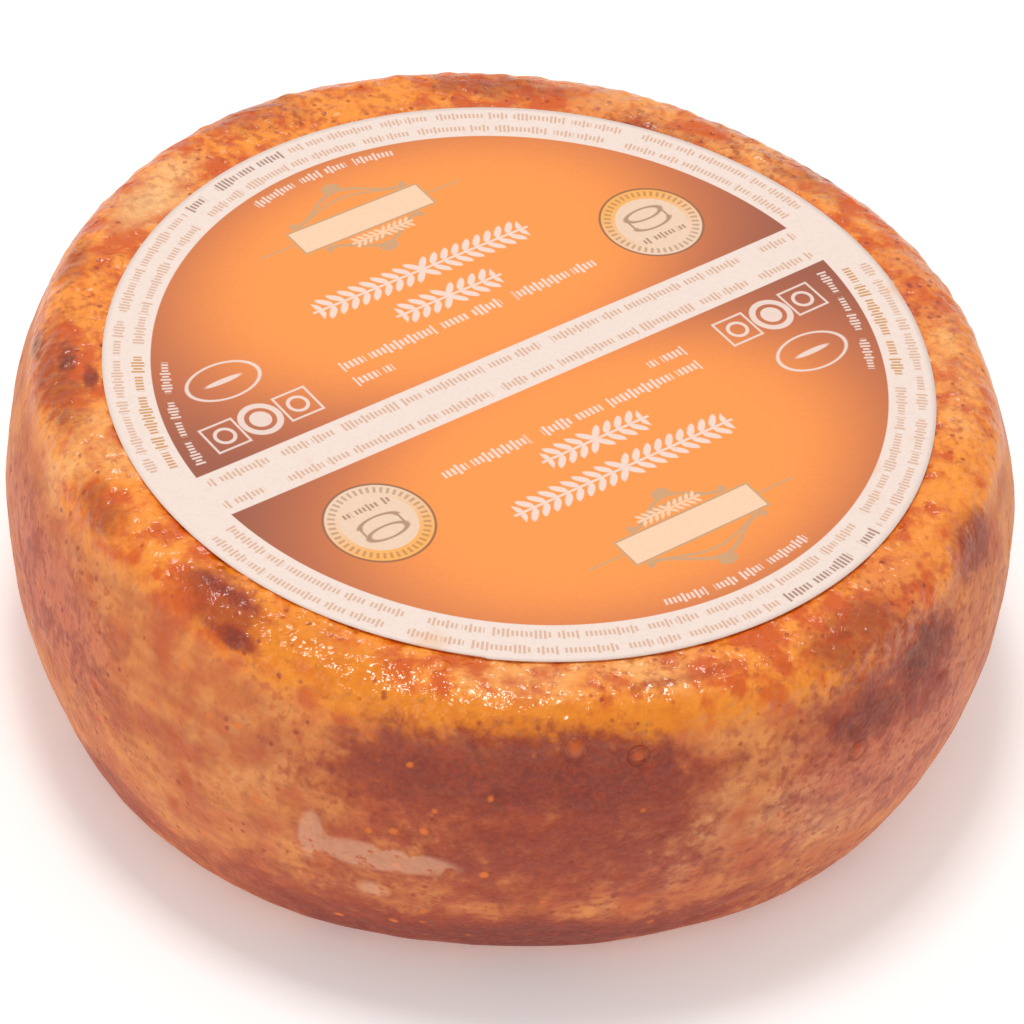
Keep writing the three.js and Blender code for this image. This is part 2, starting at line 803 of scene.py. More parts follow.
# Each row is a patch: its bearing in degrees, its reach, width and depth in millimetres, and its
# strength, which is 1 where none is given.
PATCH_ROWS = {
    Stain.OIL: (
        (4, 71.5, 48, 7), (-60, 71, 34, 6, 0.6), (62, 71, 28, 6, 0.4), (165, 71, 60, 6, 0.55),
    ),
    Stain.GOLD: (
        (2, 75, 46, 4.5), (-20, 71, 18, 6, 0.8), (100, 76, 30, 5, 0.6), (-170, 75, 40, 5, 0.8),
        (-84, 84, 20, 16, 0.55), (86, 84, 16, 14, 0.4),
    ),
    Stain.BRUISE_AND_SHADE: (
        # The patch at reach 121.5 mm, low on the front, is partly a red-brown stain and partly painted
        # shade near the floor.
        (4, 84, 33, 9), (10, 96, 30, 13, 0.7), (8, 121.5, 36, 9, 1.15), (-29, 74, 5, 1.6),
        (-33, 69, 8, 1.4, 0.8), (-77, 66.5, 4, 1.5, 0.9), (24, 69, 10, 1.4, 0.45),
        (51, 84, 22, 9, 0.7), (70, 77, 8, 6, 0.8), (150, 88, 26, 10, 0.9),
        (-140, 100, 22, 10, 0.8),
    ),
    Stain.EMBER_AND_SHADE: (
        # The patches at reach 119 and 120 mm, low on the front, are partly a red-brown stain and partly
        # painted shade near the floor.
        (10, 97, 42, 22, 0.8), (4, 120, 64, 13, 0.85), (-42, 119, 15, 6, 0.9),
        (-34, 71, 11, 6, 0.9), (-55, 73, 13, 5, 0.7), (-78, 72, 22, 7, 0.8),
        (47, 72, 12, 6, 0.85), (-140, 70, 14, 7, 0.6), (-172, 68, 18, 5, 0.75),
        (-100, 72, 9, 5, 0.75), (142, 69, 12, 4, 0.6), (110, 104, 28, 14, 0.8),
    ),
    Stain.DUSK: (
        (-80, 69.6, 7, 2.2, 0.9), (-86, 76, 5, 2.6, 0.8), (56, 82, 9, 4, 0.9),
        (46, 86, 9, 4.5, 0.75),
    ),
    # The pink patches on the two sides are partly a dusty tone and partly painted sheen, a pale veil of
    # reflected light.
    Stain.DUST_AND_SHEEN: (
        (54, 97, 34, 18, 0.9), (-60, 92, 28, 14, 0.9), (180, 104, 36, 14, 0.8),
    ),
    # The patch at bearing 160, on the back of the top margin, is painted sheen, a brighter wash for
    # reflected light; the others are pale cream patches.
    Stain.BUTTER_AND_SHEEN: (
        (-115, 66, 16, 7, 0.9), (26, 92, 9, 9, 0.5), (-25, 88, 14, 10, 0.35),
        (98, 68, 20, 6, 0.5), (160, 70, 60, 9, 0.45),
    ),
    Stain.SCUFF: (
        (-16, 100, 1.8, 4.4, 0.9), (-7.5, 101, 10, 2.6), (-9, 109, 2.4, 2, 0.6),
        (128, 96, 9, 2.5, 0.8),
    ),
}
PATCHES = {
    kind: [Patch(row[0], *(length * MM for length in row[1:4]), *row[4:]) for row in rows]
    for kind, rows in PATCH_ROWS.items()
}

# A blister's groove: where it is deepest and how wide it is, as shares of the radius.
GROOVE_AT, GROOVE_WIDTH = 1.15, 0.25
BLISTERS = (
    Blister(10.6, 78 * MM, 1.7 * MM, 0.3 * MM),
    Blister(17.4, 79.8 * MM, 1.3 * MM, 0.3 * MM),
    Blister(44, 91 * MM, 1.6 * MM),
    Blister(120, 84 * MM, 1.8 * MM),
    Blister(-152, 79 * MM, 2 * MM),
    Blister(172, 95 * MM, 1.4 * MM),
)


@dataclass(frozen=True)
class RindFinish:
    """The rind's colours, and its material, which holds the sizes of its markings."""

    tan: Tint = colour(232, 144, 68)
    clay: Tint = colour(200, 92, 36)
    orange: Tint = colour(255, 152, 46)
    amber: Tint = colour(218, 92, 8)
    gold: Tint = colour(238, 136, 4)
    # ember also paints shade low on the front and in each blister's groove, and bruise paints shade low
    # on the front, besides their stains.
    ember_and_shade: Tint = colour(158, 52, 8)
    bruise_and_shade: Tint = colour(122, 38, 20)
    dusk: Tint = colour(98, 34, 20)
    # dust also paints a pale sheen of reflected light on the sides, besides a dusty tone.
    dust_and_sheen: Tint = colour(206, 106, 80)
    # butter also paints a pale sheen of reflected light on the back of the top margin, besides pale
    # cream patches.
    butter_and_sheen: Tint = colour(252, 205, 140)
    scuff: Tint = colour(228, 168, 132)
    wine: Tint = colour(148, 50, 34)
    rust: Tint = colour(180, 60, 16)
    fleck: Tint = colour(150, 36, 6)
    drip: Tint = colour(238, 118, 8)

    def material(self, blisters: Sequence[tuple[np.ndarray, float]]) -> bpy.types.Material:
        """Builds the rind's nodes: a mottled ground, stains with painted shade and painted sheen among
        them, flecks, drips, gloss and bumps.

        Args:
            blisters: the middle and radius of each blister.

        Returns:
            The material.
        """
        board = Board("paprika_rind")
        place = board.place()
        combed = board.place(size=(1.0, 1.0, 0.2))
        cloud = board.noise(place, 24 * MM, detail=2)
        mottle = board.noise(place, 9 * MM, detail=3, rough=0.55, bend=0.25)
        blotch = board.noise(place, 3.8 * MM, detail=3, rough=0.6, bend=0.2)
        freckle = board.noise(place, 1.5 * MM, detail=2, rough=0.6)
        streak = board.noise(combed, 9 * MM, detail=3, rough=0.55)
        fine = board.noise(place, 0.8 * MM, detail=1, rough=0.5)
        crown = board.painted(Stain.CROWN.value)
        oil = board.painted(Stain.OIL.value)
        dust_and_sheen = board.painted(Stain.DUST_AND_SHEEN.value)

        worn = mottle * 0.5 + blotch * 0.2 + streak * 0.2 + cloud * 0.1
        side = board.blend(worn.step(0.38, 0.6), self.clay, self.tan)
        top = board.blend((mottle * 0.5 + blotch * 0.5).step(0.41, 0.56), self.amber, self.orange)
        paint = board.blend(crown, side, top)
        ragged = (blotch - 0.5) * 0.95 + (freckle - 0.5) * 0.55
        veil = (mottle - 0.5) * 0.9 + (blotch - 0.5) * 0.5
        # The butter and dust layers lay painted sheen besides pale and dusty tones, and the ember and
        # bruise layers lay painted shade low on the front besides stains.
        layers = (
            (Stain.BUTTER_AND_SHEEN, veil, (0.2, 1.0), self.butter_and_sheen, 0.7),
            (Stain.GOLD, veil, (0.1, 0.9), self.gold, 0.85),
            (Stain.DUST_AND_SHEEN, veil, (0.2, 1.0), self.dust_and_sheen, 0.65),
            (Stain.EMBER_AND_SHADE, ragged, (0.25, 0.9), self.ember_and_shade, 0.8),
            (Stain.BRUISE_AND_SHADE, ragged, (0.1, 0.75), self.ember_and_shade, 0.85),
            (Stain.BRUISE_AND_SHADE, ragged, (0.4, 1.2), self.bruise_and_shade, 0.9),
            (Stain.DUSK, ragged, (0.2, 1.0), self.dusk, 0.75),
        )
        for stain, grain, (low, high), tint, cover in layers:
            mark = board.painted(stain.value)
            amount = mark + grain * mark.step(0.0, 0.25)
            paint = board.blend(amount.step(low, high) * cover, paint, tint)

        rusty = freckle.step(0.48, 0.66) * (mottle + cloud + dust_and_sheen * 0.2).step(0.85, 1.15)
        vein = abs(board.noise(place, 11 * MM, detail=3, rough=0.6) - 0.5).step(0.09, 0.0)
        veined = vein * blotch.step(0.36, 0.56) * (1 - crown)
        banded = board.painted(Stain.GOLD.value).step(0.1, 0.6)
        distance, chance = board.cells(board.bent(place, 2.2 * MM, 0.15 * MM), 1.7 * MM)
        crowd = (cloud - 0.5) * 0.8 + dust_and_sheen * 0.25 + chance
        fleck = distance.step(0.34, 0.12) * crowd.step(0.55, 0.95)
        distance, chance = board.cells(board.bent(place, 3 * MM, 0.35 * MM), 4.2 * MM)
        drip = distance.step(0.22, 0.08) * (chance + (cloud - 0.5) * 1.2).step(0.45, 0.75)
        shares = [board.apart(place, middle) * (1 / radius) for middle, radius in blisters]
        dome = reduce(or_, (share.step(1.0, 0.2) for share in shares))
        groove = reduce(or_, (abs(share - GROOVE_AT).step(GROOVE_WIDTH, 0.0) for share in shares))
        scuffed = board.painted(Stain.SCUFF.value) * blotch.step(0.32, 0.5)
        paint = board.coats(
            paint,
            (rusty * (0.5 - banded * 0.3), self.rust),
            (veined * (0.25 + dust_and_sheen * 0.45), self.wine),
            (fleck * 0.7, self.fleck),
            (drip * (1 - crown) * (1 - dust_and_sheen * 0.7) * 0.85, self.drip),
            (dome * 0.6, self.amber),
            # The darker colour in each blister's groove is painted shade in the recess.
            (groove * 0.4, self.ember_and_shade),
            (scuffed.step(0.15, 0.6) * 0.6, self.scuff),
            (fine.step(0.56, 0.36) * 0.13, self.amber),
        )

        pebble, _ = board.cells(board.bent(place, 2.5 * MM, 0.15 * MM), 2.4 * MM)
        bead, lucky = board.cells(board.bent(place, 3 * MM, 0.15 * MM), 2.6 * MM)
        beaded = bead.step(0.3, 0.02) * lucky.step(0.35, 0.7)
        rugged = 1 - crown * 0.7
        height = (
            (fine - 0.5) * (0.07 * MM) * rugged
            + (blotch - 0.5) * (0.9 * MM)
            + (freckle - 0.5) * (0.25 * MM) * rugged
            + (streak - 0.5) * (0.12 * MM) * (1 - crown)
            + pebble.step(0.85, 0.05) * (0.3 * MM) * crown
            + beaded * (0.3 * MM) * (crown * 0.7 + 0.3)
            + dome * (0.4 * MM)
            - groove * (0.2 * MM)
            - fleck * (0.08 * MM)
        )
        dull = 0.56 + (blotch - 0.5) * 0.25
        return board.finish(
            Base_Color=paint,
            Roughness=dull - crown * 0.25 - (oil | dome) * 0.15 - beaded * 0.1,
            Normal=board.bump(height, 1.0),
            Specular_IOR_Level=0.55,
        )


@dataclass(frozen=True)
class Lumps:
    """One kind of unevenness in the rind: how high or deep it is, and how large or far apart."""

    height: float
    size: float


@dataclass
class CheeseWheel:
    """The whole cheese: a leathery wheel, dented and pitted, and stained by its paprika rub."""

    form: WheelForm = field(default_factory=WheelForm)
    finish: RindFinish = field(default_factory=RindFinish)
    facets: int = 640
    hidden_rings: int = 8
    margin_rings: int = 12
    shoulder_rings: int = 14
    side_rings: int = 60
    foot_rings: int = 18
    base_rings: int = 30
    margin_start: float = 60 * MM
    covered: float = 64.5 * MM
    dents: Lumps = Lumps(0.5 * MM, 38 * MM)
    leather: Lumps = Lumps(0.3 * MM, 11 * MM)
    cloth_marks: Lumps = Lumps(0.16 * MM, 11 * MM)
    pebbles: Lumps = Lumps(0.42 * MM, 3.2 * MM)
    pits: Lumps = Lumps(0.45 * MM, 5.5 * MM)
    front_scatter: float = 0.3
    map_inner: float = 50 * MM
    map_disc: float = 0.13
    grain: Grain = field(default_factory=lambda: Grain(58))

    def reaches(self) -> np.ndarray:
        """The reach of each ring: evenly spaced along each stretch of the section.

        Returns:
            The reaches, without that of the pole in the middle of the top.
        """
        top, shoulder, side, foot, end = self.form.stations
        stretches = (
            (0.0, self.margin_start, self.hidden_rings),
            (self.margin_start, top, self.margin_rings),
            (top, shoulder, self.shoulder_rings),
            (shoulder, side, self.side_rings),
            (side, foot, self.foot_rings),
            (foot, end, self.base_rings),
        )
        every = [np.linspace(start, stop, count, endpoint=False) for start, stop, count in stretches]
        return np.concatenate(every)[1:]

    def build(self) -> bpy.types.Object:
        """Makes the wheel's skin on a grid of bearings and reaches, and dresses it.

        Returns:
            The piece.
        """
        reach, turn = np.meshgrid(self.reaches(), np.arange(self.facets), indexing="ij")
        bearing = turn * 2 * math.pi / self.facets
        plain = self.form.surface(bearing, reach)
        low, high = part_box("cheese_wheel")
        centre = (np.array(low) + np.array(high)) / 2
        sideways = centre - (plain.min(axis=(0, 1)) + plain.max(axis=(0, 1))) / 2
        sideways[2] = 0.0
        plain = plain + sideways

        relief = self.relief(plain, bearing, reach)
        places = plain + relief[..., None] * self.outward(plain)
        flat_top = np.where(reach < self.covered, self.form.height, places[..., 2])
        places[..., 2] = np.clip(np.minimum(places[..., 2], flat_top), 0, None)
        grid = TurnedGrid(
            places,
            sideways + [0, 0, self.form.height],
            sideways,
            {kind.value: values for kind, values in self.stains(plain, bearing, reach).items()},
        )
        spots = np.array([[spot.bearing, spot.reach] for spot in BLISTERS])
        middles = self.form.surface(np.radians(spots[:, 0]), spots[:, 1]) + sideways
        radii = [spot.radius for spot in BLISTERS]
        material = self.finish.material(list(zip(middles, radii)))
        piece = hang("rind_wheel", grid.mesh("rind_wheel", self.lay), material)
        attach(piece, BODY)
        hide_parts("cheese_wheel")
        return piece

    @staticmethod
    def outward(places: np.ndarray) -> np.ndarray:
        """The direction out of the surface: the cross product of the two ways along the grid.

        Args:
            places: the grid's points.

        Returns:
            Directions of length 1.
        """
        down = np.gradient(places, axis=0)
        around = np.roll(places, -1, axis=1) - np.roll(places, 1, axis=1)
        out = np.cross(down, around)
        return out / np.linalg.norm(out, axis=-1, keepdims=True)

    def relief(self, places: np.ndarray, bearing: np.ndarray, reach: np.ndarray) -> np.ndarray:
        """How far the rind stands out of the plain form: lumps, cloth marks, pebbles and pits.

        The sum of broad dents, a leathery surface, ridges that the pressing cloth left round the
        side, pebbles on the top margin and shoulder, scattered pits, and the blisters. Where the
        wheel lies on its base or under its label, only what goes inwards is kept.

        Args:
            places: the plain form's points.
            bearing: their bearings.
            reach: their reaches.

        Returns:
            The heights.
        """
        top, shoulder, side, foot, _ = self.form.stations
        on_side = ease(reach, top, shoulder) * ease(reach, foot, side)
        on_crown = ease(reach, shoulder + 4 * MM, shoulder - 3 * MM) * ease(reach, 58 * MM, 62 * MM)
        combed = places * np.array([1, 1, 5])
        height = self.dents.height * self.grain.rough(places, self.dents.size, 2)
        height += self.leather.height * self.grain.rough(places + 1, self.leather.size, 3)
        height += self.cloth_marks.height * on_side * self.grain.rough(combed, self.cloth_marks.size, 3)
        distance, chance = self.grain.seeds(places, self.pebbles.size)
        height += self.pebbles.height * on_crown * ease(distance, 0.8, 0.05) * (0.3 + 0.7 * chance)
        distance, chance = self.grain.seeds(places + 2, self.pits.size)
        pit = (chance > 0.6) * ease(distance, 0.26, 0.05)
        height -= self.pits.height * pit * (0.4 + 0.6 * on_side)
        for blister in BLISTERS:
            height += self.dome(blister, bearing, reach)
        resting = (reach > foot) | (reach < self.covered)
        return np.where(resting, np.minimum(height, 0), height)

    def span(
        self, bearing: np.ndarray, reach: np.ndarray, middle: Patch | Blister
    ) -> tuple[np.ndarray, np.ndarray]:
        """How far each place is from a patch or blister, round the wheel and down the section.

        Args:
            bearing: the bearings of the places.
            reach: their reaches.
            middle: the patch or blister.

        Returns:
            The distance round, positive towards a larger bearing, and the distance down.
        """
        turn = bearing - math.radians(middle.bearing)
        turn = (turn + math.pi) % (2 * math.pi) - math.pi
        radius = self.form.section(np.array([middle.reach]))[0][0]
        return turn * radius, reach - middle.reach

    def dome(self, blister: Blister, bearing: np.ndarray, reach: np.ndarray) -> np.ndarray:
        """A blister's height: a cap that falls with the square of the distance, and a groove.

        Args:
            blister: the blister.
            bearing: the bearings of the places.
            reach: their reaches.

        Returns:
            The height at each place.
        """
        around, down = self.span(bearing, reach, blister)
        share = np.hypot(around, down) / blister.radius
        cap = np.clip(1 - share * share, 0, None)
        groove = np.exp(-(((share - GROOVE_AT) / GROOVE_WIDTH) ** 2))
        return blister.height * (cap - 0.4 * groove)

    def stains(
        self, places: np.ndarray, bearing: np.ndarray, reach: np.ndarray
    ) -> dict[Stain, np.ndarray]:
        """How strong each stain is at each point, painted shade and painted sheen among them: the
        listed patches over scattered ones.

        A patch has its full strength in its middle and falls to 0 at its edge, which a random field
        makes ragged. The dark scattered stains are faint in front, where the listed ones stand.

        Args:
            places: the plain form's points.
            bearing: their bearings.
            reach: their reaches.

        Returns:
            A number from 0 to about 1 for each stain and point.
        """
        _, shoulder, _, foot, _ = self.form.stations
        ragged = 0.45 * self.grain.rough(places + 3, 14 * MM, 3)
        wander = 5 * MM * self.grain.rough(places + 4, 26 * MM, 2)
        edge = reach + wander
        amounts = {
            Stain.CROWN: ease(edge, shoulder + 5 * MM, shoulder - 1 * MM),
            Stain.OIL: np.zeros_like(reach),
            Stain.EMBER_AND_SHADE: 0.5 * ease(self.grain.rough(places + 5, 30 * MM, 3), 0.05, 0.5),
            Stain.BRUISE_AND_SHADE: 0.7 * ease(self.grain.rough(places + 6, 34 * MM, 3), 0.25, 0.6),
            Stain.DUSK: 0.5 * ease(self.grain.rough(places + 7, 16 * MM, 3), 0.4, 0.7),
            Stain.DUST_AND_SHEEN: 0.5 * ease(self.grain.rough(places + 8, 36 * MM, 2), 0.1, 0.5),
            Stain.BUTTER_AND_SHEEN: 0.5 * ease(self.grain.rough(places + 9, 30 * MM, 2), 0.2, 0.6),
            Stain.GOLD: np.zeros_like(reach),
            Stain.SCUFF: np.zeros_like(reach),
        }
        faint = np.where(np.cos(bearing) > 0.0, self.front_scatter, 1.0)
        for kind in (Stain.BRUISE_AND_SHADE, Stain.DUSK, Stain.EMBER_AND_SHADE):
            amounts[kind] *= faint
        for kind, patches in PATCHES.items():
            for patch in patches:
                around, down = self.span(bearing, reach, patch)
                distance = np.hypot(around / patch.wide, down / patch.deep) + ragged
                amount = patch.strength * ease(distance, 1.45, 0.2)
                amounts[kind] = np.maximum(amounts[kind], amount)
        return amounts

    def lay(
        self, ring: np.ndarray, turn: np.ndarray, home_ring: np.ndarray, home_turn: np.ndarray
    ) -> np.ndarray:
        """The bake map: the side as two strips, one above the other, and a disc for each face.

        Args:
            ring: the ring of each corner.
            turn: its turn.
            home_ring: the ring of its face's middle.
            home_turn: the turn of its face's middle.

        Returns:
            Places on the map.
        """
        _, _, _, foot, end = self.form.stations
        inner = self.map_inner
        known = np.concatenate([[0.0], self.reaches(), [end]])
        reach = np.interp(ring, np.arange(-1, len(known) - 1), known)
        home = np.interp(home_ring, np.arange(-1, len(known) - 1), known)
        angle = turn * 2 * math.pi / self.facets
        half = (home_turn > self.facets / 2).astype(float)
        margin, tall, gap = 0.01, 0.345, 0.01
        across = margin / 2 + (1 - margin) * (2 * turn / self.facets - half)
        up = margin + (tall + gap) * half + tall * (foot - reach) / (foot - inner)
        strip = np.stack([across, up], axis=-1)
        top = on_disc(angle, reach / inner, (0.16, 0.86), self.map_disc)
        base = on_disc(angle, (end - reach) / (end - foot), (0.46, 0.86), self.map_disc)
        placed = np.where((home < inner)[..., None], top, strip)
        return np.where((home > foot)[..., None], base, placed)


# ---- the label
class PrintBoard(Board):
    """The label's nodes: marks drawn in units of the label's radius, the same in both halves.

    across runs along the middle band, up is the distance from the band's middle line, and the
    half below the band is the upper half turned half a turn. turn is the angle from +across.
    """

    blur = 0.0016

    def __init__(self, name: str, middle: Sequence[float], radius: float, turn: float) -> None:
        """Sets out the label's own directions.

        Args:
            name: the material's name.
            middle: the label's middle.
            radius: its radius.
            turn: the direction of its band, from +X.
        """
        super().__init__(name)
        across, up, _ = self.split(self.place(middle, turn, (radius, radius, radius)))
        flip = self.math("SIGN", up)
        self.across, self.up = across * flip, abs(up)
        self.centre_distance = self.length(across, up)
        self.turn = self.math("ARCTAN2", self.up, self.across)

    def length(self, across: Value, up: Value) -> Wire:
        """The length of a line with a given run and rise."""
        return self.math("SQRT", self.math("ADD", across * across, up * up))

    def ink(self, distance: Wire) -> Wire:
        """Ink wherever a signed distance is below 0, with a soft edge."""
        return distance.step(self.blur, -self.blur)

    def line(self, distance: Wire, width: float) -> Wire:
        """Ink along the places where a signed distance is 0, in a line of some width."""
        return self.ink(abs(distance) - width / 2)

    def oval(self, centre: tuple[float, float], wide: float, tall: float) -> Wire:
        """The signed distance to an oval: the shorter half width times (scaled distance - 1)."""
        across, up = (self.across - centre[0]) / wide, (self.up - centre[1]) / tall
        return (self.length(across, up) - 1) * min(wide, tall)

    def box(self, centre: tuple[float, float], wide: float, tall: float) -> Wire:
        """The signed distance to a box: the larger of how far out it is each way."""
        return (abs(self.across - centre[0]) - wide) | (abs(self.up - centre[1]) - tall)

    def strokes(
        self, along: Wire, off: Wire, ends: tuple[float, float], size: tuple[float, float, float]
    ) -> Wire:
        """A row of short upright strokes in uneven groups, like the fine scale of a ruler.

        Args:
            along: the distance along the row.
            off: the distance off its middle line.
            ends: where it starts and stops.
            size: half its height, the distance between strokes, and the length of a group.

        Returns:
            The ink.
        """
        tall, pitch, group = size
        cell = self.math("FLOOR", along / pitch)
        share = self.math("FRACT", along / pitch)
        wave = self.math("SINE", along * (2.6 / group)) * 0.3 + along / group
        in_group = self.math("FRACT", wave).step(0.14, 0.18)
        reach = self.chance(cell).step(0.62, 0.7) * 0.4 + 0.6
        stroke = abs(share - 0.5).step(0.36, 0.22) & (abs(off) - reach * tall).step(0.003, -0.001)
        inside = self.ink(abs(along - (ends[0] + ends[1]) / 2) - (ends[1] - ends[0]) / 2)
        return stroke & in_group & inside

    def row(self, height: float, ends: tuple[float, float], size: tuple[float, float, float]) -> Wire:
        """A straight row of strokes at a height above the band's middle line."""
        return self.strokes(self.across, self.up - height, ends, size)

    def arc_row(
        self, radius: float, degrees: tuple[float, float], size: tuple[float, float, float]
    ) -> Wire:
        """A row of strokes along an arc round the label's middle, between two directions."""
        ends = (radius * math.radians(degrees[0]), radius * math.radians(degrees[1]))
        return self.strokes(self.turn * radius, self.centre_distance - radius, ends, size)

    def garland(self, height: float, half_length: float, leaf: float) -> Wire:
        """A stem with slanting pairs of leaves along it, which point away from its middle.

        Args:
            height: the stem's height above the band's middle line.
            half_length: how far it runs each way.
            leaf: the length of a leaf.

        Returns:
            The ink.
        """
        along = abs(self.across - 0.005)
        off = abs(self.up - height)
        pitch = leaf * 0.78
        share = (self.math("FRACT", along / pitch) - 0.42) * pitch
        slant = share - (off - leaf * 0.42) * 0.75
        blade = self.length(slant / (leaf * 0.27), (off - leaf * 0.46) / (leaf * 0.46)) - 1
        leaves = self.ink(blade * (leaf * 0.2)) & self.ink(along - half_length)
        stem = self.ink(off - 0.0035) & self.ink(along - half_length - leaf * 0.3)
        return leaves | stem


@dataclass(frozen=True)
class LabelFinish:
    """The printed paper's colours."""

    cream: Tint = colour(242, 221, 209)
    orange: Tint = colour(255, 152, 70)
    rust: Tint = colour(212, 118, 70)
    umber: Tint = colour(158, 88, 66)
    peach: Tint = colour(255, 208, 172)
    khaki: Tint = colour(205, 160, 116)
    gold: Tint = colour(248, 176, 90)
    pale_gold: Tint = colour(239, 206, 178)
    ochre: Tint = colour(204, 140, 84)
    brown: Tint = colour(146, 96, 66)
    mustard: Tint = colour(206, 136, 48)
    oil: Tint = colour(240, 168, 104)

    def panel(self, board: PrintBoard) -> Wire:
        """The orange ground: bright in each half's middle, dark in its tips beside the band.

        Args:
            board: the label's board.

        Returns:
            The paint.
        """
        off_middle = board.length((board.across - 0.04) / 0.98, (board.up - 0.42) / 0.66)
        deep = off_middle.step(0.45, 1.05)
        ground = board.blend(off_middle.step(0.42, 0.86), self.orange, self.rust)
        return board.blend(deep * deep, ground, self.umber)

    def crest(self, board: PrintBoard, paint: Wire) -> Wire:
        """A bare plate under a plain bow, over a smaller one turned down, with side lines.

        Args:
            board: the label's board.
            paint: what lies underneath.

        Returns:
            The paint.
        """
        along = board.across + 0.01
        above = self.bow(board, along, board.up - 0.705, 0.165)
        below = self.bow(board, along, 0.6 - board.up, 0.135)
        sides = board.ink(abs(board.up - 0.652) - 0.003) & board.ink(abs(along) - 0.3)
        plate = board.box((-0.01, 0.653), 0.192, 0.04)
        return board.coats(
            paint,
            ((above | below | sides) * 0.9, self.khaki),
            (board.ink(plate - 0.006), self.khaki),
            (board.ink(plate), self.peach),
            (board.garland(0.583, 0.085, 0.022) * 0.9, self.peach),
        )

    @staticmethod
    def bow(board: PrintBoard, along: Wire, up: Wire, half: float) -> Wire:
        """A bow: a line along a wave of the cosine, a second one inside it, a bud and two dots.

        Args:
            board: the label's board.
            along: the distance from the bow's middle.
            up: the height above its ends.
            half: half its length.

        Returns:
            The ink.
        """
        wave = board.math("COSINE", along * (math.pi / half)) * 0.5 + 0.5
        inside = board.ink(abs(along) - half)
        outer = board.line(up - wave * (half * 0.42), 0.012) & inside
        inner = board.line(up - wave * (half * 0.22) - 0.004, 0.008) & inside
        bud = board.ink((board.length(along / 0.026, (up - half * 0.5) / 0.018) - 1) * 0.018)
        dots = board.ink(board.length(abs(along) - half, up - 0.006) - 0.011)
        return outer | inner | bud | dots

    def seal(self, board: PrintBoard, paint: Wire) -> Wire:
        """A gold disc with a beaded rim and a plain little drum drawn in its middle.

        Args:
            board: the label's board.
            paint: what lies underneath.

        Returns:
            The paint.
        """
        across, height = 0.606, 0.27
        disc = board.oval((across, height), 0.13, 0.13)
        face = board.blend(board.up.step(0.16, 0.38), self.pale_gold, self.gold)
        turn = board.math("ARCTAN2", board.up - height, board.across - across)
        beads = board.math("FRACT", turn * (44 / (2 * math.pi)))
        bead = abs(beads - 0.5).step(0.3, 0.15) & board.line(disc + 0.019, 0.018)
        lid, foot = (
            board.line(board.oval((across, middle), 0.052, 0.02), 0.006) for middle in (0.305, 0.268)
        )
        walls = board.line(board.box((across, 0.2865), 0.052, 0.0185), 0.006)
        wall = walls & board.ink(0.046 - abs(board.across - across))
        drum = lid | (foot & board.ink(board.up - 0.268)) | wall
        rule = board.row(0.215, (0.54, 0.672), (0.011, 0.011, 0.05))
        return board.coats(
            paint,
            (board.ink(disc), face),
            (board.ink(disc + 0.038), self.pale_gold),
            (bead * 0.5, self.brown),
            ((drum | rule) * 0.7, self.brown),
            (board.line(disc, 0.006) * 0.9, self.brown),
        )

    def white_marks(self, board: PrintBoard) -> Wire:
        """The cream marks on the panel: garlands, ruled rows, and plain frames at the left.

        Args:
            board: the label's board.

        Returns:
            The ink.
        """
        low, medium, tall = (0.0115, 0.0105, 0.1), (0.0135, 0.0115, 0.11), (0.0165, 0.0135, 0.14)
        left, disc_place, oval_place = -0.374, (-0.64, 0.166), (-0.64, 0.324)
        marks = [
            board.garland(0.416, 0.31, 0.042),
            board.garland(0.302, 0.145, 0.042),
            board.row(0.218, (left, 0.39), tall),
            board.row(0.158, (left, -0.264), tall),
            board.arc_row(0.852, (76, 104), medium),
            board.arc_row(0.852, (148, 173), low),
            board.line(board.oval(oval_place, 0.096, 0.06), 0.006),
            board.ink(board.oval(oval_place, 0.05, 0.008)),
        ]
        for middle in ((-0.534, 0.166), (-0.744, 0.16)):
            marks.append(board.line(board.box(middle, 0.044, 0.044), 0.006))
            marks.append(board.line(board.oval(middle, 0.024, 0.024), 0.009))
        hole = board.line(board.oval(disc_place, 0.033, 0.033), 0.012)
        marks.append(board.ink(board.oval(disc_place, 0.055, 0.055)) & (1 - hole))
        return reduce(or_, marks)

    def rim(self, board: PrintBoard) -> tuple[Wire, Wire, Wire, Wire]:
        """The cream ring and band, and the print on them.

        Args:
            board: the label's board.

        Returns:
            The paper, and the light, golden and heavy ink.
        """
        paper = board.ink(0.885 - board.centre_distance) | board.ink(board.up - 0.072)
        outer, inner = 0.9655, 0.9155
        fine = (0.0125, 0.0105, 0.1)
        arcs = ((outer, (7, 91)), (inner, (6.5, 144)), (outer, (113, 172)))
        light = reduce(or_, (board.arc_row(radius, degrees, fine) for radius, degrees in arcs))
        light = light | board.row(0.04, (-0.87, 0.88), (0.013, 0.0115, 0.12))
        golden = board.arc_row(inner, (145, 172), (0.0145, 0.0105, 0.1))
        heavy = board.arc_row(outer, (92, 112), (0.0145, 0.0115, 0.1))
        return paper, light, golden, heavy

